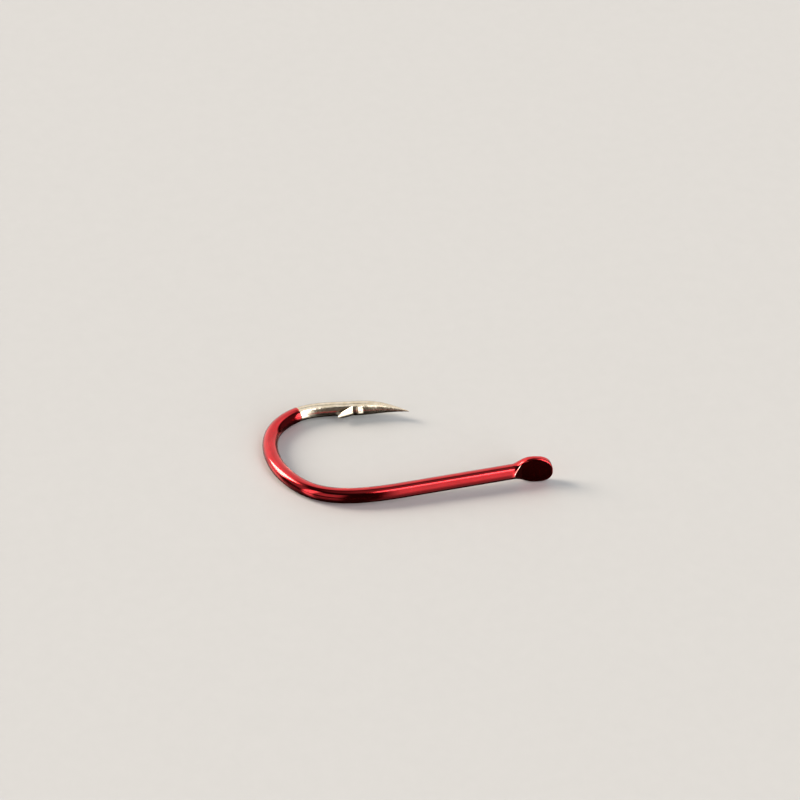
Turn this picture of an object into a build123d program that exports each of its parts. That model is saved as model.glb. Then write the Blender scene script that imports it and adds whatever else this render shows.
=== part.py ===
from build123d import *
from math import cos, sin, tan, pi, radians, atan2, copysign, hypot
import os

os.makedirs("parts", exist_ok=True)

# Single spade-end hook: one bent, forged and pointed wire under two finishes.
# Frame: origin on the shank axis at the spade shoulder, +X along the shank
# towards the spade, +Y across the gape towards the point, +Z square to the
# plane of the hook. Millimetres.
# Each layer is the same hook, inset from the outside of the lacquer. A
# developed length is measured along the centre line from the shoulder.

# ---- wire and finishes ------------------------------------------------------
wire_d = 1.20            # finished wire, lacquer included
lacquer_t = 0.03         # red lacquer
plating_t = 0.03         # nickel skin over the steel
wire_r = wire_d / 2
plated_r = wire_r - lacquer_t
shank_len = 8.80         # straight shank, from the bend to the spade shoulder
lacquer_end = 27.03      # developed length to the dip line

# ---- centre line of the bend and the point arm (x, y) -----------------------
bend_points = [
    (-shank_len, 0.000), (-9.90, 0.027), (-11.272, 0.128), (-12.760, 0.384),
    (-14.104, 0.832), (-15.232, 1.496), (-16.112, 2.376), (-16.824, 3.464),
    (-17.328, 4.600), (-17.624, 5.816), (-17.680, 7.088), (-17.496, 8.280),
    (-17.048, 9.304), (-16.400, 10.056), (-15.552, 10.640), (-14.544, 11.010),
    (-13.432, 11.085), (-12.184, 10.944), (-10.920, 10.704), (-9.608, 10.452),
    (-8.368, 10.160), (-7.272, 9.704), (-6.216, 9.144),
]
bend_tangents = [(-1, 0), (0.866, -0.500)]

# ---- needle point -----------------------------------------------------------
taper_start = 32.00      # developed length where the point begins to taper
tip_r = 0.030            # radius of the plated needle tip
tip_slack = 0.004        # how far under tip_r an inner layer may end
tip_step = 0.01          # step, as a fraction of the taper, that shortens an inner layer
station_gap = 0.03       # least fraction between the last two sections

# fraction of the taper, radius of the plated section
point_profile = [
    (0.000, 0.570), (0.120, 0.556), (0.250, 0.515), (0.400, 0.440),
    (0.550, 0.345), (0.700, 0.240), (0.850, 0.130), (0.950, 0.062), (1.000, tip_r),
]

# ---- spade ------------------------------------------------------------------
# x station, half width (Z), half thickness (Y), centre in Y, superellipse power
spade_stations = [
    (0.00, 0.600, 0.600, 0.000, 2.0),
    (0.10, 0.604, 0.600, 0.000, 2.0),
    (0.30, 0.648, 0.585, 0.010, 2.2),
    (0.56, 0.770, 0.550, 0.030, 2.5),
    (0.90, 0.960, 0.500, 0.020, 2.8),
    (1.30, 1.105, 0.470, -0.030, 3.0),
    (1.75, 1.160, 0.450, -0.115, 3.0),
    (2.18, 1.140, 0.440, -0.205, 3.0),
    (2.50, 1.045, 0.430, -0.270, 3.0),
    (2.76, 0.875, 0.420, -0.325, 3.0),
    (2.95, 0.640, 0.410, -0.360, 3.0),
    (3.06, 0.380, 0.400, -0.385, 3.0),
]
spade_len = spade_stations[-1][0]
shoulder_shy = 0.003     # keeps the first section just inside the shank

# stamped faces as (x, y): outer face towards -Y, inner face towards +Y
stamp_x = 3.60           # where the cutting blocks end, past the spade
stamp_y = 2.5            # how far they reach to either side
stamp_half = 2           # their half height in Z
stamp_lead = 0.3         # how far the outer block starts behind its ramp
outer_ramp_from = (0.02, -0.652)
outer_flat_from = (0.70, -0.208)
outer_flat_to = (stamp_x, -0.788)
inner_ramp = [(-0.02, 0.66), (0.30, 0.580), (0.62, 0.470), (0.96, 0.372)]
inner_ramp_tangent = (1, -0.12)
inner_flat_from = (1.30, 0.288)
inner_flat_to = (stamp_x, -0.232)

# ---- barb: a sliver cut up from the inner side of the wire ------------------
barb_root = 31.53        # developed length of the cut's deepest point
barb_len = 1.40          # length of the sliver
barb_cut = 0.27          # depth of the chisel cut at its root
barb_lift = radians(17.1)        # angle the sliver is raised
barb_floor = plated_r - barb_cut         # height of the root above the wire axis
barb_tip_h = barb_floor + barb_cut / cos(barb_lift) + barb_len * tan(barb_lift)
barb_half = 1            # half height in Z of the cutting blocks

notch_mouth = 0.78       # mouth of the notch, as a fraction of barb_len
notch_clear = 0.02       # mouth above the wire surface
notch_past = (0.2, 0.25)         # notch beyond the tip, along and above the wire

sliver_r = 0.96 * plated_r       # round stock the sliver is trimmed from
sliver_back = 2.6        # stock behind the root
sliver_ahead = 0.55      # stock ahead of the root
trim_ahead = 0.7         # trimming block ahead of the root
trim_sink = 0.12         # its front corner below the root
trim_over = 1.5          # its top above the wire surface
trim_past = 0.6          # its end beyond the tip

# ---- developed centre line --------------------------------------------------
with BuildLine() as arm_path:
    Spline(*bend_points, tangents=bend_tangents)
arm = arm_path.wires()[0]
arm_len = arm.length


def arm_fraction(developed):
    return (developed - shank_len) / arm_len


def section_plane(developed):
    """Plane square to the centre line at a developed length."""
    t = arm_fraction(developed)
    return Plane(origin=arm @ t, x_dir=(0, 0, 1), z_dir=arm % t)


# ---- plane geometry ---------------------------------------------------------
def superellipse(half_width, half_thick, centre, power, count=36):
    """Points (y, z) round a spade section."""
    points = []
    for k in range(count):
        c, s = cos(2 * pi * k / count), sin(2 * pi * k / count)
        points.append((centre + half_thick * copysign(abs(c) ** (2 / power), c),
                       half_width * copysign(abs(s) ** (2 / power), s)))
    return points


def offset_line(points, distance):
    """Polyline with each point moved to its left by distance."""
    moved = []
    for i, (x, y) in enumerate(points):
        x0, y0 = points[max(i - 1, 0)]
        x1, y1 = points[min(i + 1, len(points) - 1)]
        span = hypot(x1 - x0, y1 - y0)
        moved.append((x - (y1 - y0) / span * distance, y + (x1 - x0) / span * distance))
    return moved


def crossing(first, second):
    """Where two straight lines, each given by two points, cross."""
    (x1, y1), (x2, y2) = first
    (x3, y3), (x4, y4) = second
    k = (((x3 - x1) * (y4 - y3) - (y3 - y1) * (x4 - x3))
         / ((x2 - x1) * (y4 - y3) - (y2 - y1) * (x4 - x3)))
    return x1 + (x2 - x1) * k, y1 + (y2 - y1) * k


# ---- needle point sections --------------------------------------------------
def taper_r(fraction, depth):
    """Radius at a fraction of the taper, for a layer at depth below the plating's surface."""
    for (f0, r0), (f1, r1) in zip(point_profile, point_profile[1:]):
        if fraction <= f1:
            return r0 + (r1 - r0) * (fraction - f0) / (f1 - f0) - depth


def taper_stations(depth):
    """Fractions of the taper to loft through, stopping before the radius vanishes."""
    last = 1.0
    while taper_r(last, depth) < tip_r - tip_slack:
        last -= tip_step
    return [f for f, _ in point_profile if f < last - station_gap] + [last]


# ---- barb -------------------------------------------------------------------
barb_origin = arm @ arm_fraction(barb_root)
barb_tangent = arm % arm_fraction(barb_root)
barb_angle = atan2(barb_tangent.Y, barb_tangent.X)


def barb_point(along, height):
    """Point from the wire axis at the root: along towards the tip, height towards the gape."""
    c, s = cos(barb_angle), sin(barb_angle)
    return (barb_origin.X + c * along + s * height, barb_origin.Y + s * along - c * height)


def barb_notch(depth):
    """Block for the chisel cut, grown by depth."""
    with BuildPart() as notch:
        with BuildSketch(Plane.XY.offset(-barb_half)):
            with BuildLine():
                Polyline(
                    barb_point(0.0, barb_floor),
                    barb_point(-barb_len * notch_mouth, plated_r + notch_clear),
                    barb_point(-barb_len - notch_past[0], barb_tip_h + notch_past[1]),
                    close=True)
            make_face()
            if depth > 0:
                offset(amount=depth, kind=Kind.INTERSECTION, mode=Mode.REPLACE)
        extrude(amount=2 * barb_half)
    return notch.part


def barb_sliver(depth):
    """Raised sliver: tilted round stock trimmed to a wedge, shrunk by depth."""
    tilt = barb_angle + barb_lift
    direction = (cos(tilt), sin(tilt), 0)
    x, y = barb_point(0.0, barb_floor + (barb_cut - sliver_r) / cos(barb_lift))
    start = (x - direction[0] * sliver_back, y - direction[1] * sliver_back, 0)
    past_h = barb_tip_h + trim_past * (barb_tip_h - barb_floor) / barb_len
    with BuildPart() as sliver:
        with BuildSketch(Plane(origin=start, x_dir=(0, 0, 1), z_dir=direction)):
            Circle(sliver_r - depth)
        extrude(amount=sliver_back + sliver_ahead)
        with BuildSketch(Plane.XY.offset(-barb_half)):
            with BuildLine():
                Polyline(
                    barb_point(trim_ahead, barb_floor - trim_sink),
                    barb_point(trim_ahead, plated_r + trim_over),
                    barb_point(-barb_len - trim_past, plated_r + trim_over),
                    barb_point(-barb_len - trim_past, past_h),
                    barb_point(0.0, barb_floor),
                    close=True)
            make_face()
            if depth > 0:
                offset(amount=-depth, kind=Kind.INTERSECTION, mode=Mode.REPLACE)
        extrude(amount=2 * barb_half, mode=Mode.INTERSECT)
    return sliver.part


# ---- stamped faces ----------------------------------------------------------
def outer_stamp(inset):
    """Block cut away on the -Y side: a straight ramp, then the flat."""
    ramp = offset_line([outer_ramp_from, outer_flat_from], inset)
    flat = offset_line([outer_flat_from, outer_flat_to], inset)
    with BuildPart() as block:
        with BuildSketch(Plane.XY.offset(-stamp_half)):
            with BuildLine():
                Polyline(ramp[0], crossing(ramp, flat), flat[1], (stamp_x, -stamp_y),
                         (ramp[0][0] - stamp_lead, -stamp_y), ramp[0])
            make_face()
        extrude(amount=2 * stamp_half)
    return block.part


def inner_stamp(inset):
    """Block cut away on the +Y side: a curved ramp, then the flat."""
    ramp = offset_line(inner_ramp + [inner_flat_from], -inset)
    flat = offset_line([inner_flat_from, inner_flat_to], -inset)
    flat_tangent = (flat[1][0] - flat[0][0], flat[1][1] - flat[0][1])
    with BuildPart() as block:
        with BuildSketch(Plane.XY.offset(-stamp_half)):
            with BuildLine():
                Spline(*ramp[:-1], flat[0], tangents=[inner_ramp_tangent, flat_tangent])
                Polyline(flat[0], flat[1], (stamp_x, stamp_y), (ramp[0][0], stamp_y), ramp[0])
            make_face()
        extrude(amount=2 * stamp_half)
    return block.part


# ---- whole hook -------------------------------------------------------------
def hook_body(inset, pointed=True):
    """The hook inset from the outside of the lacquer; unpointed, it ends at the dip line."""
    stop = taper_start if pointed else lacquer_end
    with BuildPart() as body:
        # shank and bend
        with BuildLine() as run:
            Line((0, 0), (-shank_len, 0))
            add(arm.edges()[0].trim(0, arm_fraction(stop)))
        with BuildSketch(Plane(origin=(0, 0, 0), x_dir=(0, 1, 0), z_dir=(-1, 0, 0))):
            Circle(wire_r - inset)
        sweep(path=run.wires()[0])

        if pointed:
            depth = inset - lacquer_t
            taper_len = arm_len + shank_len - taper_start
            for fraction in taper_stations(depth):
                with BuildSketch(section_plane(taper_start + taper_len * fraction)):
                    Circle(taper_r(fraction, depth))
            loft()
            add(barb_notch(depth), mode=Mode.SUBTRACT)
            add(barb_sliver(depth))

        # spade: the squeezed blank, then the two stamped faces
        for i, (x, half_width, half_thick, centre, power) in enumerate(spade_stations):
            shrink = inset + (shoulder_shy if i == 0 else 0.0)
            with BuildSketch(Plane.YZ.offset(x - inset * x / spade_len)):
                with BuildLine():
                    Spline(*superellipse(half_width - shrink, half_thick - shrink, centre, power),
                           periodic=True)
                make_face()
        loft()
        add(outer_stamp(inset), mode=Mode.SUBTRACT)
        add(inner_stamp(inset), mode=Mode.SUBTRACT)
    return body.part


def export_piece(name, outside, inside=None):
    """Write one piece: the outside body, less the inside one if given."""
    with BuildPart() as piece:
        add(outside)
        if inside is not None:
            add(inside, mode=Mode.SUBTRACT)
    piece.part.label = name
    export_step(piece.part, f"parts/{name}.step")


lacquered_hook = hook_body(0.0, pointed=False)
plated_hook = hook_body(lacquer_t)
steel_core = hook_body(lacquer_t + plating_t)

export_piece("steel_wire", steel_core)
export_piece("nickel_plating", plated_hook, steel_core)
export_piece("lacquer_coat", lacquered_hook, plated_hook)
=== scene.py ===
# A spade-end fish hook: a steel wire plated with nickel, its spade, shank and bend dipped in red
# lacquer.  In the frame the spade's shoulder is at the origin, the spade lies towards +X and the
# shank runs along -X.  The wire then bends round through +Y, so the gape is on the shank's +Y
# side.  The plane of the hook is XY and the floor lies below it in Z.
import bpy
import math
import numpy as np
from mathutils import Matrix, Vector


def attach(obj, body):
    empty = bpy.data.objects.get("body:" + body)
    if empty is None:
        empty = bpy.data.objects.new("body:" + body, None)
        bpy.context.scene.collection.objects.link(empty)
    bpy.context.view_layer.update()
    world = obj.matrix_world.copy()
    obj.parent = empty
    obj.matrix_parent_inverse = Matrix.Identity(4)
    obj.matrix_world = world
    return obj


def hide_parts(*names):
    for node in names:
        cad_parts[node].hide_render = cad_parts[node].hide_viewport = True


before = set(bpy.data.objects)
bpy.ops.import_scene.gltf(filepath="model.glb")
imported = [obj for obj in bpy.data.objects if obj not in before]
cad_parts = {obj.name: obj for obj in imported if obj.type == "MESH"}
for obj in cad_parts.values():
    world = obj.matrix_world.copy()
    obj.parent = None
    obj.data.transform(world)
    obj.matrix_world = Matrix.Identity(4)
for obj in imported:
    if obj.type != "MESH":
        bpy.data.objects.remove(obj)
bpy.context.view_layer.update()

# ============================================================================
# Shape of the hook, in millimetres.  Points are worked out in developed
# coordinates (s along the centre line from the spade's shoulder, w towards the
# gape, z square to the plane of the hook) and then laid along the bent line.
# ============================================================================
MM = 1e-3                # metres in a millimetre
COLS = 128               # points round every section
SHANK = 8.80             # length of the straight shank
R = 0.60                 # wire radius over the lacquer
SKIN = 0.03              # thickness of the lacquer, and again of the nickel
DIP = 27.03              # s where the lacquer stops
TAPER = 32.00            # s where the point starts
TIP_R = 0.030
# centre line of the bend and point arm: X, Y
LINE = np.array([
    (-8.80, 0.000), (-9.90, 0.027), (-11.272, 0.128), (-12.760, 0.384),
    (-14.104, 0.832), (-15.232, 1.496), (-16.112, 2.376), (-16.824, 3.464),
    (-17.328, 4.600), (-17.624, 5.816), (-17.680, 7.088), (-17.496, 8.280),
    (-17.048, 9.304), (-16.400, 10.056), (-15.552, 10.640), (-14.544, 11.010),
    (-13.432, 11.085), (-12.184, 10.944), (-10.920, 10.704), (-9.608, 10.452),
    (-8.368, 10.160), (-7.272, 9.704), (-6.216, 9.144)])
START_DIR, END_DIR = (-1.0, 0.0), (0.8660, -0.5000)
# point: fraction of the way from TAPER to the tip, radius over the nickel
POINT = np.array([
    (0.000, 0.570), (0.120, 0.556), (0.250, 0.515), (0.400, 0.440), (0.550, 0.345),
    (0.700, 0.240), (0.850, 0.130), (0.950, 0.062), (1.000, TIP_R)])
# spade before stamping: X, half width (Z), half thickness (Y), Y of centre, squareness
BLANK = np.array([
    (0.00, 0.600, 0.600, 0.000, 2.0), (0.10, 0.604, 0.600, 0.000, 2.0),
    (0.30, 0.648, 0.585, 0.010, 2.2), (0.56, 0.770, 0.550, 0.030, 2.5),
    (0.90, 0.960, 0.500, 0.020, 2.8), (1.30, 1.105, 0.470, -0.030, 3.0),
    (1.75, 1.160, 0.450, -0.115, 3.0), (2.18, 1.140, 0.440, -0.205, 3.0),
    (2.50, 1.045, 0.430, -0.270, 3.0), (2.76, 0.875, 0.420, -0.325, 3.0),
    (2.92, 0.660, 0.410, -0.355, 3.0), (3.00, 0.460, 0.405, -0.370, 3.0),
    (3.045, 0.250, 0.400, -0.380, 3.0), (3.06, 0.004, 0.400, -0.385, 3.0)])
SPADE_END = BLANK[-1, 0]
# outer (-Y) stamped face: a straight ramp down to a flat, each by X, Y and slope
RAMP = (0.02, -0.652, 0.653)
FLAT = (0.70, -0.208, -0.20)
# inner (+Y) stamped face: X, Y
INNER = np.array([
    (-0.40, 0.70), (-0.02, 0.66), (0.30, 0.580), (0.62, 0.470), (0.96, 0.372), (1.30, 0.288),
    (1.70, 0.1976), (3.60, -0.232)])
RIM = 0.075              # rounding of the spade's free end
# softening of the stamped edges: it starts at SOFT_X and grows over a length to an amount
SOFT_X = -0.40
OUTER_SOFT = (0.45, 0.06)
INNER_SOFT = (0.60, 0.05)
CROWD = 0.16             # how strongly a section's points gather where it turns
SPADE_STEP = 0.055       # between the spade's rows on the metal
FINE_STEP = 0.022        # and on the outside of the lacquer
# barb: a sliver cut on the gape side and bent up, its free end towards the bend
CUT_COL = 21             # the cut reaches this column either side of the inner line
ROOT = 31.53             # s of the sliver's root
BARB = 1.48              # length of the sliver
BARB_LEAD = 2.6          # the barb's rows start this far before the root
LIFT = math.radians(21.2)
HINGE = 0.30             # length over which the sliver bends up
SOLID = 9.0              # stands for the thickness of metal away from the sliver
# metal pushed up between the root and the tip: s, share of the full height
SWELL_S = ROOT + np.array((0.0, 0.17, 0.20, 0.23, 0.27, 0.32, 0.66, 0.71, 0.76))
SWELL_SHARE = np.array((0.0, 0.0, 0.20, 0.72, 1.0, 0.96, 0.16, 0.03, 0.0))
SWELL_HEIGHT = 0.125
SWELL_TURN = 0.12        # its middle, in radians round from the inner line
AHEAD_S = ROOT + np.array((     # more rows there
    0.06, 0.11, 0.14, 0.185, 0.215, 0.25, 0.295, 0.37, 0.43, 0.49, 0.55, 0.60, 0.63,
    0.685, 0.735, 0.80, 0.85, 0.92, 1.0, 1.1))
CORE_NOSE = 0.006        # tip radius of the steel
# lacquer's edge
LIP_START = 26.0         # rows follow the wandering edge from here
LIP_ROLL = 0.11          # length of the rounded edge

THETA = 2 * np.pi * np.arange(COLS) / COLS


def running(steps):
    """Running sum that starts at zero."""
    return np.concatenate(([0], np.cumsum(steps)))


def unit(v):
    return v / np.maximum(np.linalg.norm(v, axis=-1, keepdims=True), 1e-12)


def ease(k):
    k = np.clip(k, 0, 1)
    return k * k * (3 - 2 * k)


def pchip(x, y, at):
    """Monotone cubic interpolation."""
    at = np.asarray(at, float)
    step = np.diff(x)
    grade = np.diff(y) / step
    slope = np.zeros(len(x))
    for i in range(1, len(x) - 1):
        if grade[i - 1] * grade[i] > 0:
            w1 = 2 * step[i] + step[i - 1]
            w2 = step[i] + 2 * step[i - 1]
            slope[i] = (w1 + w2) / (w1 / grade[i - 1] + w2 / grade[i])
    slope[0], slope[-1] = grade[0], grade[-1]
    i = np.clip(np.searchsorted(x, at, side="right") - 1, 0, len(x) - 2)
    t = (at - x[i]) / step[i]
    t2, t3 = t * t, t * t * t
    return ((2 * t3 - 3 * t2 + 1) * y[i] + (t3 - 2 * t2 + t) * step[i] * slope[i]
            + (-2 * t3 + 3 * t2) * y[i + 1] + (t3 - t2) * step[i] * slope[i + 1])


def bent_line():
    """The bend and point arm as a clamped cubic spline: tables of s, place and direction."""
    step = np.linalg.norm(np.diff(LINE, axis=0), axis=1)
    knots = running(step)
    grade = np.diff(LINE, axis=0) / step[:, None]
    padded = np.concatenate(([0], step, [0]))
    matrix = np.diag(2 * (padded[:-1] + padded[1:])) + np.diag(step, 1) + np.diag(step, -1)
    bend = np.linalg.solve(matrix, 6 * np.diff(np.vstack((START_DIR, grade, END_DIR)), axis=0))
    at = np.linspace(0, knots[-1], 6001)
    i = np.clip(np.searchsorted(knots, at, side="right") - 1, 0, len(step) - 1)
    a = ((knots[i + 1] - at) / step[i])[:, None]
    b = ((at - knots[i]) / step[i])[:, None]
    points = (a * LINE[i] + b * LINE[i + 1]
              + ((a ** 3 - a) * bend[i] + (b ** 3 - b) * bend[i + 1]) * step[i, None] ** 2 / 6)
    s = running(np.linalg.norm(np.diff(points, axis=0), axis=1)) + SHANK
    return s, points, unit(np.gradient(points, s, axis=0))


ARM_S, ARM_POINTS, ARM_DIRS = bent_line()
LENGTH = float(ARM_S[-1])


def place(dev):
    """Developed points (..., 3) to points in the frame."""
    s, w, z = (dev[..., k].ravel() for k in range(3))
    on_arm = np.clip(s, SHANK, LENGTH)
    p, d = (np.stack([np.interp(on_arm, ARM_S, table[:, k]) for k in range(2)], -1)
            for table in (ARM_POINTS, ARM_DIRS))
    d = unit(d)
    straight = s < SHANK
    p[straight] = np.stack([-s[straight], np.zeros(straight.sum())], -1)
    d[straight] = START_DIR
    return np.stack([p[:, 0] + d[:, 1] * w, p[:, 1] - d[:, 0] * w, z], -1).reshape(dev.shape)


# ---- rows of points.  "inset" is the depth of a surface below the lacquer's outside.
def radius(s, inset):
    """Radius of the wire and of the point."""
    along = np.clip((np.asarray(s, float) - TAPER) / (LENGTH - TAPER), 0, 1)
    return pchip(POINT[:, 0], POINT[:, 1], along) - (inset - SKIN)


def ring(s, r):
    return np.stack([np.broadcast_to(s, (COLS,)), r * np.cos(THETA), r * np.sin(THETA)], -1)


def wire_rows(inset, stations):
    return [ring(s, float(radius(s, inset))) for s in stations]


def soft_max(a, b, soft):
    return 0.5 * (a + b + np.sqrt((a - b) ** 2 + soft * soft))


def edge_soft(x, length, amount):
    return amount * ease((x - SOFT_X) / length)


def outer_face(face, x, inset):
    face_x, face_y, slope = face
    return face_y + slope * (x - face_x) + inset * math.hypot(1, slope)


def spade_section(station, inset):
    """The closed section of the spade at a station of the blank, as one row."""
    x = station * (SPADE_END - inset) / SPADE_END if station > 0 else station
    half_width, half_thick, centre, square = (
        float(pchip(BLANK[:, 0], BLANK[:, k], max(station, 0.0))) for k in range(1, 5))
    half_width = max(half_width - inset * min(1.0, half_width / 0.3), 0.003)
    half_thick -= inset
    # half of the blank's section, a superellipse from +Y to -Y
    a = np.linspace(0, np.pi, 721)
    y = centre + half_thick * np.sign(np.cos(a)) * np.abs(np.cos(a)) ** (2 / square)
    z = half_width * np.abs(np.sin(a)) ** (2 / square)
    # cut it with the stamped faces, which draw together at the rounded free end
    over = min(max(0.0, x - (SPADE_END - inset - RIM)), RIM)
    tuck = RIM - math.sqrt(max(RIM * RIM - over * over, 0.0))
    outer = min(outer_face(RAMP, x, inset), outer_face(FLAT, x, inset)) + tuck
    e = 1e-3
    y0, y1 = pchip(INNER[:, 0], INNER[:, 1], [x - e, x + e])
    inner = (y0 + y1) / 2 - inset * math.hypot(1, (y1 - y0) / 2 / e) - tuck
    y = soft_max(y, outer, edge_soft(x, *OUTER_SOFT))
    y = -soft_max(-y, -inner, edge_soft(x, *INNER_SOFT))
    # space the points along it, closer where it turns
    dy, dz = np.diff(y), np.diff(z)
    heading = np.unwrap(np.arctan2(dz, dy))
    turn = np.abs(np.diff(heading, prepend=heading[0]))
    turn = np.convolve(np.pad(turn, 12, "reflect"), np.ones(25) / 25, "valid")
    run = running(np.hypot(dy, dz) + CROWD * half_width * turn)
    at = run[-1] * np.arange(COLS // 2 + 1) / (COLS // 2)
    y, z = np.interp(at, run, y), np.interp(at, run, z)
    z[0] = z[-1] = 0.0
    if station >= SPADE_END - 1e-9:
        z[:] = 0.0
    return np.stack([np.full(COLS, -x), np.concatenate((y, y[-2:0:-1])),
                     np.concatenate((z, -z[-2:0:-1]))], -1)


def spade_rows(inset, step):
    """Rows from the free end to just past the shoulder, evenly spaced along the plan outline."""
    tip_x = 2.9                     # samples crowd towards the end from here
    x = np.concatenate((
        np.linspace(-0.42, tip_x, 1200),
        tip_x + (SPADE_END - tip_x) * np.sin(np.linspace(0, np.pi / 2, 1500)[1:])))
    half_width = pchip(BLANK[:, 0], BLANK[:, 1], np.maximum(x, 0))
    run = running(np.hypot(np.diff(x), np.diff(half_width)))
    at = np.interp(np.linspace(0, run[-1], int(run[-1] / step) + 1), run, x)
    at[-1] = SPADE_END
    foot = FLAT[0] + np.array((-0.02, 0.0, 0.02))          # the corner where ramp and flat meet
    at = np.sort(np.concatenate((at[np.abs(at - FLAT[0]) > 0.03], foot)))
    return [spade_section(float(station), inset) for station in at[::-1]]


def bend_sliver(t, height, depth):
    """Bends the sliver up from its root: t along it, negative towards its free end."""
    u = np.linspace(0, 2.6, 1301)
    angle = LIFT * ease(u / HINGE)
    middle = (angle[1:] + angle[:-1]) / 2
    x = -running(np.cos(middle) * np.diff(u))
    y = running(np.sin(middle) * np.diff(u))
    lean = np.interp(-t, u, angle)
    return (np.interp(-t, u, x) + (height - depth) * np.sin(lean),
            depth + np.interp(-t, u, y) + (height - depth) * np.cos(lean))


def barb_rows():
    """Rows of the plated surface through the barb, and the thickness of metal under each point."""
    r = R - SKIN
    depth = r * math.cos(2 * np.pi * CUT_COL / COLS)
    col = np.arange(COLS)
    cut = np.minimum(col, COLS - col) < CUT_COL
    top = r * np.cos(THETA)
    z = r * np.sin(THETA)
    mouth = np.where(cut, ROOT - BARB * (top - depth) / (r - depth), ROOT)
    first = ROOT - BARB_LEAD
    rows, thick = [], []

    def put(s, height, metal=SOLID):
        rows.append(np.stack([np.broadcast_to(s, (COLS,)), height, z], -1))
        thick.append(np.broadcast_to(metal, (COLS,)))

    def put_sliver(s, height, metal):
        along, lifted = bend_sliver(s - ROOT, height, depth)
        put(np.where(cut, ROOT + along, ROOT), np.where(cut, lifted, top),
            np.where(cut, metal, SOLID))

    for k in np.linspace(0, 1, 27):             # up to the mouth of the cut
        put(first + (mouth - first) * k, top)
    for k in np.linspace(0, 1, 19)[1:]:         # down the floor of the cut
        put(mouth + (ROOT - mouth) * k, np.where(cut, top + (depth - top) * k, top))
    for k in np.linspace(0, 1, 19)[1:]:         # out under the sliver
        height = depth + (top - depth) * k
        put_sliver(ROOT + (mouth - ROOT) * k, height, top - height)
    for k in np.linspace(0, 1, 23)[1:]:         # and back over it
        put_sliver(mouth + (ROOT - mouth) * k, top, (top - depth) * k)
    return np.array(rows), np.array(thick)


def weld(rows):
    """Vertices and the grid of their numbers, with equal points made one."""
    flat = np.round(rows.reshape(-1, 3), 5) + 0.0
    _, first, back = np.unique(flat, axis=0, return_index=True, return_inverse=True)
    order = np.argsort(first)
    rank = np.empty(len(first), int)
    rank[order] = np.arange(len(first))
    return first[order], rank[back.ravel()].reshape(rows.shape[:2])


def quads(grid):
    """Faces of a grid that closes on itself round the wire."""
    beside = np.roll(grid, -1, axis=1)
    corners = np.stack([grid[:-1], grid[1:], beside[1:], beside[:-1]], -1).reshape(-1, 4)
    met = {}
    for four in corners.tolist():
        face = list(dict.fromkeys(four))
        if len(face) > 2:
            met.setdefault(tuple(sorted(face)), []).append(face)
    return [v[0] for v in met.values() if len(v) % 2]       # two faces on each other cancel out


def inset_rows(rows, amount):
    """The same rows moved an amount below their own surface."""
    first, grid = weld(rows)
    points = rows.reshape(-1, 3)[first]
    normal = np.zeros_like(points)
    for face in quads(grid):
        p = points[face]
        n = np.cross(p[1] - p[0], p[2] - p[0])
        if len(face) == 4:
            n = n + np.cross(p[2] - p[0], p[3] - p[0])
        normal[face] -= n           # developed axes are left-handed
    depth = np.full(len(points), SOLID)
    np.minimum.at(depth, grid.ravel(), amount.ravel())
    return (points - unit(normal) * depth[:, None])[grid]


def body_rows(inset):
    """Rows of the nickel's or the steel's outside, from the spade to the tip of the point."""
    extra = inset - SKIN
    stations = list(np.arange(0.6, 26.5, 0.4))      # coarse under the lacquer
    stations += list(np.arange(26.6, ROOT - BARB_LEAD - 0.05, 0.08))
    rows = spade_rows(inset, SPADE_STEP) + wire_rows(inset, stations)
    barb, thick = barb_rows()
    last, nose = LENGTH, TIP_R
    if extra > 0:
        barb = inset_rows(barb, np.clip(0.3 * thick, 0.002, extra))
        nose = CORE_NOSE
        s = np.linspace(TAPER, LENGTH, 2000)
        last = float(s[np.where(radius(s, inset) > nose)[0][-1]])
    rows += list(barb)
    from_middle = (THETA + np.pi - SWELL_TURN) % (2 * np.pi) - np.pi
    swell_round = np.cos(np.clip(from_middle, -1.0, 1.0) * np.pi / 2.0) ** 2
    nose_s = last - nose
    stations = np.concatenate((
        np.sort(np.concatenate((SWELL_S[1:], AHEAD_S))),
        np.linspace(ROOT + 1.2, nose_s, 36),
        nose_s + nose * np.sin(np.linspace(0, np.pi / 2, 8)[1:])))
    for s in stations:
        k = max(s - nose_s, 0.0) / nose
        swell = SWELL_HEIGHT * float(np.interp(s, SWELL_S, SWELL_SHARE))
        r = float(radius(s, inset)) * math.sqrt(max(1 - k * k, 0.0))
        rows.append(ring(s, r + swell * swell_round))
    return np.array(rows)


def lacquer_rows():
    """The lacquer: its outside, the soft edge at the dip line, and its inside to the spade."""
    edge = (DIP + 0.045 * np.sin(THETA + 0.7) + 0.02 * np.sin(2 * THETA + 1.9)
            + 0.008 * np.sin(5 * THETA))        # wanders a little round the wire
    rolled = edge - LIP_ROLL
    rows = spade_rows(0.0, FINE_STEP)
    rows += wire_rows(0.0, np.arange(0.48, LIP_START, 0.1))
    for k in np.linspace(0, 1, 11):
        rows.append(ring(LIP_START + (rolled - LIP_START) * k, R))
    for a in np.linspace(0, np.pi / 2, 9)[1:]:
        rows.append(ring(rolled + LIP_ROLL * math.sin(a), R - SKIN + SKIN * math.cos(a)))
    for k in np.linspace(0, 1, 5)[1:]:
        rows.append(ring(edge + (LIP_START - edge) * k, R - SKIN))
    rows += wire_rows(SKIN, np.arange(0.6, 25.8, 0.4))[::-1]
    rows += spade_rows(SKIN, SPADE_STEP)[::-1]
    return np.array(rows)


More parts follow.
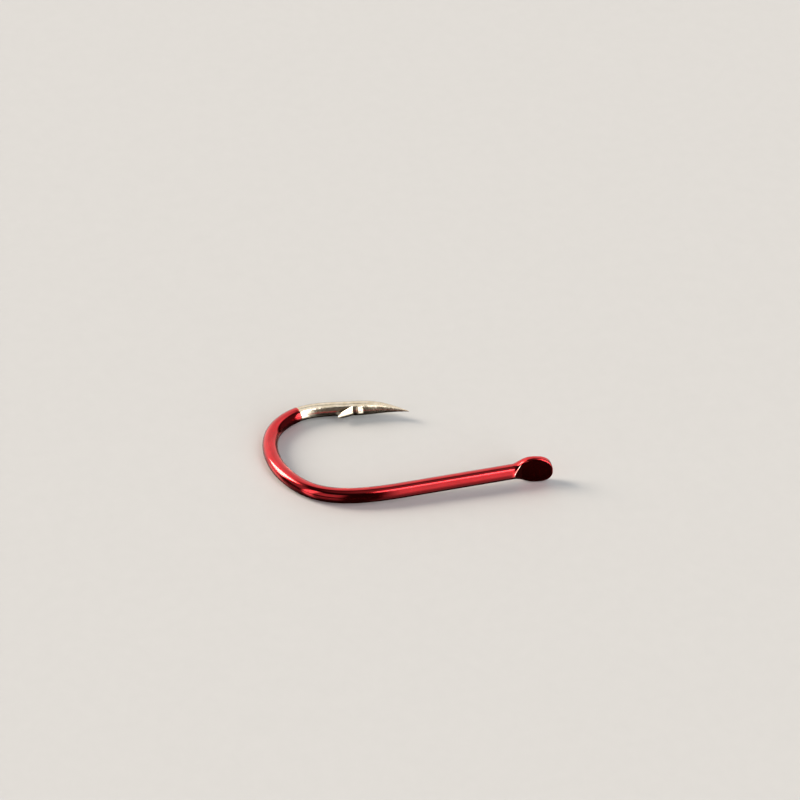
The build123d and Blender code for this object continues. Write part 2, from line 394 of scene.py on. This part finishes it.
# ============================================================================
# Mesh pieces
# ============================================================================
def surface(rows):
    """Placed points, developed points, convexity at each point, and faces."""
    first, grid = weld(rows)
    dev = rows.reshape(-1, 3)[first]
    points = place(dev)
    faces = quads(grid)
    normal = np.zeros_like(points)
    for face in faces:
        p = points[face]
        normal[face] += unit(np.cross(p[1] - p[0], p[2] - p[0]))
    normal = unit(normal)
    convex = np.zeros(len(points))
    for a, b in ((grid[:-1], grid[1:]), (grid, np.roll(grid, -1, axis=1))):
        a, b = a.ravel(), b.ravel()
        apart = a != b
        a, b = a[apart], b[apart]
        edge = points[b] - points[a]
        length = np.linalg.norm(edge, axis=1)
        bend = (np.einsum("ij,ij->i", normal[b] - normal[a], edge)
                / np.maximum(length * length, 1e-7))
        np.maximum.at(convex, a, bend)
        np.maximum.at(convex, b, bend)
    return points, dev, convex, faces


def piece(name, grids, node):
    """One mesh from closed grids of rows; it stands for a CAD node.

    It carries developed coordinates ("dev") and how convex the surface is ("rim")."""
    parts = [surface(rows) for rows in grids]
    points, dev, convex = (np.concatenate([part[k] for part in parts]) for k in range(3))
    faces, base = [], 0
    for part in parts:
        faces += [[i + base for i in face] for face in part[3]]
        base += len(part[0])
    used = np.unique(np.concatenate([np.array(face) for face in faces]))
    number = np.zeros(len(points), int)
    number[used] = np.arange(len(used))
    me = bpy.data.meshes.new(name)
    me.from_pydata((points[used] * MM).tolist(), [], [number[face].tolist() for face in faces])
    me.validate()
    me.update()
    at = me.attributes.new("dev", "FLOAT_VECTOR", "POINT")
    at.data.foreach_set("vector", dev[used].astype(np.float32).ravel())
    at = me.attributes.new("rim", "FLOAT", "POINT")
    at.data.foreach_set("value", np.clip((convex[used] - 2.5) / 14.0, 0, 1).astype(np.float32))
    me.polygons.foreach_set("use_smooth", np.ones(len(me.polygons), bool))
    me.set_sharp_from_angle(angle=math.radians(35))
    ob = bpy.data.objects.new(name, me)
    bpy.context.scene.collection.objects.link(ob)
    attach(ob, "root")
    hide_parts(node)
    return ob


# ============================================================================
# Materials
# ============================================================================
class Nodes:
    """Small helper that writes shader node trees."""

    def __init__(self, owner):
        owner.use_nodes = True
        self.tree = owner.node_tree
        self.tree.nodes.clear()

    def add(self, kind, inputs=None, **props):
        """A new node; its inputs are sockets to link or values to set."""
        node = self.tree.nodes.new("ShaderNode" + kind)
        for key, value in props.items():
            setattr(node, key, value)
        for key, value in (inputs or {}).items():
            socket = node.inputs[key]
            if isinstance(value, bpy.types.NodeSocket):
                self.tree.links.new(value, socket)
            else:
                socket.default_value = (*value, 1.0) if socket.type == "RGBA" else value
        return node

    def attribute(self, name, output):
        return self.add("Attribute", attribute_name=name).outputs[output]

    def math(self, op, *values, clamp=False):
        node = self.add("Math", dict(enumerate(values)), operation=op, use_clamp=clamp)
        return node.outputs[0]

    def product(self, total, *factors):
        for factor in factors:
            total = self.math("MULTIPLY", total, factor)
        return total

    def vector(self, op, inputs, output="Vector"):
        return self.add("VectorMath", inputs, operation=op).outputs[output]

    def ramp(self, value, over, to=(0.0, 1.0)):
        """Smooth step of the value over one range, to another."""
        return self.add("MapRange", dict(enumerate((value, *over, *to))),
                        interpolation_type="SMOOTHSTEP", clamp=True).outputs[0]

    def noise(self, at, scale, detail, rough, stretch=None):
        if stretch:
            at = self.vector("MULTIPLY", {0: at, 1: stretch})
        return self.add("TexNoise", {"Vector": at, "Scale": scale, "Detail": detail,
                                     "Roughness": rough}).outputs["Fac"]

    def spots(self, at, scale, size, soft):
        cells = self.add("TexVoronoi", {"Vector": at, "Scale": scale})
        return self.ramp(cells.outputs["Distance"], over=(size, size + soft), to=(1.0, 0.0))

    def mix(self, amount, under, over):
        """Mix of two colours; inputs 6 and 7 and output 2 are the colour sockets."""
        return self.add("Mix", {0: amount, 6: under, 7: over}, data_type="RGBA").outputs[2]

    def mix_shader(self, amount, under, over):
        return self.add("MixShader", {0: amount, 1: under, 2: over}).outputs[0]

    def bump(self, height, strength, distance, normal=None):
        inputs = {"Strength": strength, "Distance": distance, "Height": height}
        if normal is not None:
            inputs["Normal"] = normal
        return self.add("Bump", inputs).outputs["Normal"]

    def metal(self, **inputs):
        """The finished surface; an underscore in a name stands for a space."""
        inputs = {key.replace("_", " "): value for key, value in inputs.items()}
        shader = self.add("BsdfPrincipled", {"Metallic": 1.0, **inputs})
        self.add("OutputMaterial", {0: shader.outputs[0]})


def red_lacquer():
    mat = bpy.data.materials.new("red_lacquer")
    net = Nodes(mat)
    dev = net.attribute("dev", "Vector")
    rim = net.attribute("rim", "Fac")
    s, w, z = net.add("SeparateXYZ", {0: dev}).outputs
    deep, bright, drawn = (0.66, 0.008, 0.016), (0.80, 0.014, 0.026), (0.50, 0.004, 0.009)
    # bare is the cream of bare nickel, painted along the stamped edge below as a highlight line
    thin_edge, thin_lip, bare = (0.92, 0.115, 0.10), (0.90, 0.16, 0.10), (0.93, 0.80, 0.69)
    # marks of wire drawing
    draw = net.noise(dev, scale=9.0, detail=4.0, rough=0.6, stretch=(0.10, 1.0, 1.0))
    fine = net.noise(dev, scale=42.0, detail=3.0, rough=0.6, stretch=(0.35, 1.0, 1.0))
    # thicker and thinner lacquer
    cloud = net.noise(dev, scale=1.7, detail=3.0, rough=0.55, stretch=(0.5, 1.0, 1.0))
    peel = net.noise(dev, scale=4.2, detail=2.0, rough=0.5)
    nibs = net.spots(dev, scale=1.15, size=0.05, soft=0.03)
    tone = net.mix(net.ramp(cloud, over=(0.32, 0.70)), deep, bright)
    tone = net.mix(net.ramp(draw, over=(0.35, 0.75), to=(0.0, 0.35)), tone, drawn)
    # worn thin on the edges
    thin = net.math("MULTIPLY", rim, net.ramp(fine, over=(0.30, 0.65)), clamp=True)
    tone = net.mix(net.product(thin, 0.38), tone, thin_edge)
    # painted highlight: bare-metal colour along the stamped edge, a V in plan, where the ramp
    # breaks out of the wire; it stands for the rim's highlight there and is put down as lacquer
    # rubbed off
    edge = net.math("SUBTRACT", net.product(net.math("ABSOLUTE", z, 0.0), 0.92), 0.024)
    edge = net.math("ABSOLUTE", net.math("ADD", s, edge), 0.0)
    wear_and_rim_highlight = net.product(
        net.ramp(edge, over=(0.03, 0.075), to=(1.0, 0.0)),
        net.ramp(s, over=(-0.66, -0.50)),
        net.ramp(s, over=(-0.10, -0.02), to=(1.0, 0.0)),
        net.ramp(w, over=(-0.20, -0.10), to=(1.0, 0.0)),
        net.ramp(fine, over=(0.25, 0.50), to=(0.45, 0.95)))
    tone = net.mix(wear_and_rim_highlight, tone, bare)
    tone = net.mix(net.ramp(s, over=(DIP - 0.16, DIP + 0.02), to=(0.0, 0.75)), tone, thin_lip)
    rough = net.math("ADD", net.ramp(draw, over=(0.3, 0.8), to=(0.06, 0.13)),
                     net.product(rim, 0.04))
    under = net.bump(draw, strength=0.30, distance=6e-6)
    skin = net.bump(peel, strength=0.40, distance=5e-6)
    net.metal(
        Base_Color=tone, Roughness=rough, Coat_Weight=1.0, Coat_IOR=1.48,
        Coat_Roughness=net.ramp(fine, over=(0.35, 0.75), to=(0.025, 0.075)),
        Normal=net.bump(fine, strength=0.10, distance=1.5e-6, normal=under),
        Coat_Normal=net.bump(nibs, strength=0.45, distance=6e-6, normal=skin))
    return mat


def nickel():
    mat = bpy.data.materials.new("nickel")
    net = Nodes(mat)
    dev = net.attribute("dev", "Vector")
    s = net.add("SeparateXYZ", {0: dev}).outputs[0]
    dull, bright, drawn = (0.83, 0.745, 0.58), (0.93, 0.865, 0.72), (0.58, 0.50, 0.385)
    pitted, ground = (0.36, 0.30, 0.23), (0.55, 0.48, 0.38)
    draw = net.noise(dev, scale=11.0, detail=4.0, rough=0.62, stretch=(0.07, 1.0, 1.0))
    # grinding marks round the point
    grind = net.noise(dev, scale=34.0, detail=3.0, rough=0.6, stretch=(0.9, 0.22, 0.22))
    cloud = net.noise(dev, scale=2.3, detail=3.0, rough=0.6)
    pits = net.spots(dev, scale=5.5, size=0.08, soft=0.05)
    tone = net.mix(net.ramp(cloud, over=(0.3, 0.7)), dull, bright)
    tone = net.mix(net.ramp(draw, over=(0.45, 0.80), to=(0.0, 0.15)), tone, drawn)
    tone = net.mix(net.product(pits, 0.6), tone, pitted)
    point = net.ramp(s, over=(TAPER - 0.6, TAPER + 2.0))
    grinding = net.product(point, net.ramp(grind, over=(0.35, 0.7), to=(0.1, 0.5)))
    tone = net.mix(grinding, tone, ground)
    rough = net.math(
        "ADD", net.ramp(draw, over=(0.3, 0.8), to=(0.14, 0.22)),
        net.product(point, net.ramp(grind, over=(0.3, 0.7), to=(0.02, 0.14))))
    uneven = net.noise(dev, scale=1.9, detail=2.0, rough=0.45, stretch=(0.8, 1.0, 1.0))
    ripple = net.noise(dev, scale=6.5, detail=2.0, rough=0.5, stretch=(0.7, 1.0, 1.0))
    skin = net.bump(uneven, strength=0.55, distance=3.0e-5)
    skin = net.bump(ripple, strength=0.5, distance=1.1e-5, normal=skin)
    skin = net.bump(draw, strength=0.25, distance=5e-6, normal=skin)
    skin = net.bump(net.product(grind, point), strength=0.30, distance=5e-6, normal=skin)
    skin = net.bump(pits, strength=0.35, distance=-3e-6, normal=skin)
    net.metal(Base_Color=tone, Roughness=rough, Normal=skin)
    return mat


def steel():
    mat = bpy.data.materials.new("carbon_steel")
    net = Nodes(mat)
    dev = net.attribute("dev", "Vector")
    dull, bright, drawn = (0.36, 0.35, 0.335), (0.50, 0.49, 0.475), (0.22, 0.215, 0.205)
    draw = net.noise(dev, scale=16.0, detail=5.0, rough=0.65, stretch=(0.06, 1.0, 1.0))
    cloud = net.noise(dev, scale=1.6, detail=3.0, rough=0.6)
    tone = net.mix(net.ramp(cloud, over=(0.3, 0.7)), dull, bright)
    net.metal(
        Base_Color=net.mix(net.ramp(draw, over=(0.4, 0.8), to=(0.0, 0.5)), tone, drawn),
        Roughness=net.ramp(draw, over=(0.3, 0.8), to=(0.28, 0.48)),
        Normal=net.bump(draw, strength=0.5, distance=8e-6))
    return mat


nickel_out, nickel_in = body_rows(SKIN), body_rows(2 * SKIN)
lacquer_coat = piece("lacquer", [lacquer_rows()], "lacquer_coat")
nickel_plating = piece("nickel_skin", [nickel_out, nickel_in[::-1]], "nickel_plating")
steel_wire = piece("steel_core", [nickel_in], "steel_wire")
lacquer_coat.data.materials.append(red_lacquer())
nickel_plating.data.materials.append(nickel())
steel_wire.data.materials.append(steel())

# ============================================================================
# Floor, light and camera.  They are set out in upright axes: X to the camera's
# right, Y away from it, Z up.  The camera stands on the frame's -Y side, beyond
# the shank.  The rows below give the frame's X, Y and Z in upright axes.
# ============================================================================
UPRIGHT = np.array([
    (0.97765575, 0.20656534, 0.03898721),
    (-0.20673679, 0.97839652, 0.00037443),
    (-0.0380676, -0.00842615, 0.99923964)])


def to_frame(v):
    """A vector from upright axes to the frame's."""
    return Vector((UPRIGHT @ np.asarray(v, float)).tolist())


def pose(x, y, z, origin):
    matrix = Matrix((x, y, z)).transposed().to_4x4()
    matrix.translation = origin
    return matrix


# ---- floor: the plane the hook rests on, at its bend and the spade's edge
FLOOR_RADII = (0.03, 0.06, 0.12, 0.3, 0.8, 2.0)     # metres
FLOOR_SIDES = 128
FLOOR_TILT = math.radians(1.64)                     # first guess
FLOOR_GAP = 0.004                                   # mm below the hook
FLOOR_CENTRE = (-6.0, 5.0)                          # mm along the floor's own X and Y


def floor_pose():
    bend = place(np.array([ring(s, R) for s in np.arange(9.0, 27.0, 0.1)])).reshape(-1, 3)
    spade = place(np.array(spade_rows(0.0, 0.05))).reshape(-1, 3)
    tilt = FLOOR_TILT
    normal = np.array((math.sin(tilt), 0.0, math.cos(tilt)))
    for _ in range(40):             # tilt the plane until it rests on both
        a, b = bend[np.argmin(bend @ normal)], spade[np.argmin(spade @ normal)]
        tilt = math.atan2(-(b[2] - a[2]), b[0] - a[0])
        normal = np.array((math.sin(tilt), 0.0, math.cos(tilt)))
    height = min((bend @ normal).min(), (spade @ normal).min()) - FLOOR_GAP
    z = Vector(normal)
    x = (Vector((1, 0, 0)) - z * z.x).normalized()
    y = z.cross(x)
    along_x, along_y = FLOOR_CENTRE
    return pose(x, y, z, z * (height * MM) + x * (along_x * MM) + y * (along_y * MM))


def floor_disc():
    n = FLOOR_SIDES
    verts = [(0, 0, 0)]
    for r in FLOOR_RADII:
        for i in range(n):
            a = 2 * math.pi * i / n
            verts.append((r * math.cos(a), r * math.sin(a), 0.0))
    faces = [(0, 1 + i, 1 + (i + 1) % n) for i in range(n)]
    for j in range(len(FLOOR_RADII) - 1):
        a, b = 1 + j * n, 1 + (j + 1) * n
        for i in range(n):
            k = (i + 1) % n
            faces.append((a + i, b + i, b + k, a + k))
    me = bpy.data.meshes.new("floor")
    me.from_pydata(verts, [], faces)
    me.update()
    ob = bpy.data.objects.new("floor", me)
    bpy.context.scene.collection.objects.link(ob)
    ob.matrix_world = floor_pose()
    return ob


def pale_floor():
    """Pale and matt; dark and glossy to glossy rays; clear from below."""
    mat = bpy.data.materials.new("pale_floor")
    net = Nodes(mat)
    geometry = net.add("NewGeometry").outputs
    grain = net.noise(geometry["Position"], scale=900.0, detail=3.0, rough=0.6)
    tone = net.mix(grain, (0.505, 0.555, 0.600), (0.530, 0.580, 0.625))
    pale = net.add("BsdfPrincipled", {
        "Base Color": tone, "Roughness": 0.6, "Specular IOR Level": 0.25})
    sheet = net.add("BsdfGlossy", {"Color": (0.95, 0.95, 0.95), "Roughness": 0.06})
    ink = net.add("BsdfDiffuse", {"Color": (0.012, 0.010, 0.009)})
    graze = net.add("LayerWeight", {"Blend": 0.5}).outputs["Facing"]
    dark = net.mix_shader(net.math("POWER", graze, 1.5), ink.outputs[0], sheet.outputs[0])
    glossy = net.add("LightPath").outputs["Is Glossy Ray"]
    seen = net.mix_shader(glossy, pale.outputs[0], dark)
    clear = net.add("BsdfTransparent").outputs[0]
    net.add("OutputMaterial", {0: net.mix_shader(geometry["Backfacing"], seen, clear)})
    return mat


floor_disc().data.materials.append(pale_floor())

# ---- soft studio light: smooth panels, in degrees of azimuth and height.  Azimuth 0 is
# behind the camera for "front" and opposite it for "rear"; 90 is to its right for both.
PANELS = [
    # side    az from, to, soft  el from, to, soft  level
    ("front", 16, 28, 4, -40, 73, 5, 0.85),       # front right softbox
    ("front", 27, 60, 4, -40, 70, 6, 2.6),        # its brighter side
    ("front", 11, 42, 4, 57, 74, 3, 2.4),         # the strip over it
    ("front", 60, 108, 8, -40, 60, 8, 0.06),      # dim gap on the right
    ("front", 33, 47, 3, 0, 60, 5, 4.5),          # the softbox's hot middle
    ("rear", -85, 58, 7, -40, 56, 7, 0.86),       # back wall
    ("rear", 12, 60, 7, 54, 68, 5, 0.80),         # higher on the right
    ("rear", -62, -25, 10, -40, 54, 8, 0.22),     # brighter on the left
    ("front", -92, -66, 5, 12, 50, 7, 0.30),      # spill of the lamp
    ("front", -63, -47, 4, 4, 50, 7, 2.0),        # front left reflector
    ("front", -47, -12, 5, 8, 44, 6, 0.42),       # and its dim side
]
LAMP = ("front", -117, -94, 3.5, 14, 47, 6, 21.0)  # small lamp on the left
AMBIENT = 0.012
PANEL_HUE = (1.0, 0.93, 0.87)
LAMP_HUE = (1.0, 0.80, 0.62)
BACKDROP = (0.80, 0.79, 0.775)                     # what the camera itself sees


def studio():
    world = bpy.data.worlds.new("studio")
    bpy.context.scene.world = world
    net = Nodes(world)
    ray = net.add("TexCoord").outputs["Generated"]
    dx, dy, dz = (net.vector("DOT_PRODUCT", {0: ray, 1: to_frame(axis)}, "Value")
                  for axis in np.eye(3))
    degrees = 180 / math.pi
    el = net.product(net.math("ARCSINE", dz), degrees)
    azimuth = {
        "front": net.product(net.math("ARCTAN2", dx, net.product(dy, -1.0)), degrees),
        "rear": net.product(net.math("ARCTAN2", dx, dy), degrees)}

    def panel(side, az0, az1, az_soft, el0, el1, el_soft, level):
        az = azimuth[side]
        return net.product(
            net.ramp(az, over=(az0 - az_soft, az0 + az_soft)),
            net.ramp(az, over=(az1 - az_soft, az1 + az_soft), to=(1.0, 0.0)),
            net.ramp(el, over=(el0 - el_soft, el0 + el_soft)),
            net.ramp(el, over=(el1 - el_soft, el1 + el_soft), to=(1.0, 0.0)), level)

    total = net.math("ADD", AMBIENT, 0.0)
    for entry in PANELS:
        total = net.math("ADD", total, panel(*entry))
    # overhead, brighter to the right
    zenith = net.product(net.ramp(el, over=(62, 80)),
                         net.ramp(dx, over=(-0.2, 0.15), to=(0.10, 0.28)))
    total = net.math("ADD", total, zenith)
    panels = net.vector("SCALE", {0: PANEL_HUE, "Scale": total})
    # the lamp fades for rays that have bounced several times
    depth = net.add("LightPath").outputs["Ray Depth"]
    fade = net.ramp(depth, over=(2.2, 2.8), to=(1.0, 0.06))
    lamp = net.vector("SCALE", {0: LAMP_HUE, "Scale": net.product(panel(*LAMP), fade)})
    light = net.add("Background", {0: net.vector("ADD", {0: panels, 1: lamp}), 1: 1.0})
    back = net.add("Background", {0: BACKDROP, 1: 1.0})
    camera_ray = net.add("LightPath").outputs["Is Camera Ray"]
    net.add("OutputWorld", {0: net.mix_shader(camera_ray, light.outputs[0], back.outputs[0])})


studio()

# ---- cards that light only the nickel
CARD_AIM = Vector((-0.011, 0.0107, 0.0))        # metres
CARD_DISTANCE = 0.30
bare = bpy.data.collections.new("bare_metal")
bare.objects.link(nickel_plating)


def sky(az, el):
    """Direction in the frame at a front azimuth and height."""
    a, e = math.radians(az), math.radians(el)
    return to_frame((math.cos(e) * math.sin(a), -math.cos(e) * math.cos(a), math.sin(e)))


def metal_card(name, az, el, width, height, level, tint):
    data = bpy.data.lights.new(name, "AREA")
    data.shape = "ELLIPSE"
    data.size, data.size_y = width, height
    data.color = tint
    data.energy = level * math.pi * math.pi * width * height / 4
    ob = bpy.data.objects.new(name, data)
    bpy.context.scene.collection.objects.link(ob)
    z = sky(az, el)
    above = sky(az, el + 90) if el < 80 else to_frame((0, 1, 0))
    x = above.cross(z).normalized()
    ob.matrix_world = pose(x, z.cross(x), z, z * CARD_DISTANCE + CARD_AIM)
    ob.visible_camera = False
    ob.light_linking.receiver_collection = bare


metal_card("card_over_point", az=120, el=81, width=0.27, height=0.27, level=0.68,
           tint=(1.0, 0.93, 0.87))
metal_card("card_in_front", az=0, el=22, width=0.13, height=0.44, level=0.07,
           tint=(1.0, 0.78, 0.66))

# ---- camera, in millimetres and upright axes from the frame's origin
CAM_TARGET = np.array((-8.6247816, 10.2690312, -1.2653208))
CAM_DISTANCE = 240.0
CAM_HEIGHT = math.radians(39.0)
CAM_SHIFT = 0.04         # the view's centre lies this far left of the target and above it


def add_camera():
    back = np.array((0.0, -math.cos(CAM_HEIGHT), math.sin(CAM_HEIGHT)))
    right = np.array((1.0, 0.0, 0.0))
    up = np.cross(right, -back)
    forward = unit(-back + (up - right) * (CAM_SHIFT / CAM_DISTANCE))
    up = unit(up - forward * np.dot(up, forward))
    right = np.cross(forward, up)
    data = bpy.data.cameras.new("camera")
    data.sensor_width = 36.0
    data.lens = 135.0
    data.clip_start = 0.001
    data.clip_end = 10.0
    ob = bpy.data.objects.new("camera", data)
    bpy.context.scene.collection.objects.link(ob)
    ob.matrix_world = pose(to_frame(right), to_frame(up), to_frame(-forward),
                           to_frame((CAM_TARGET + back * CAM_DISTANCE) * MM))
    bpy.context.scene.camera = ob


add_camera()
bpy.context.scene.view_settings.view_transform = "Standard"
bpy.context.scene.view_settings.look = "None"

bpy.context.view_layer.update()
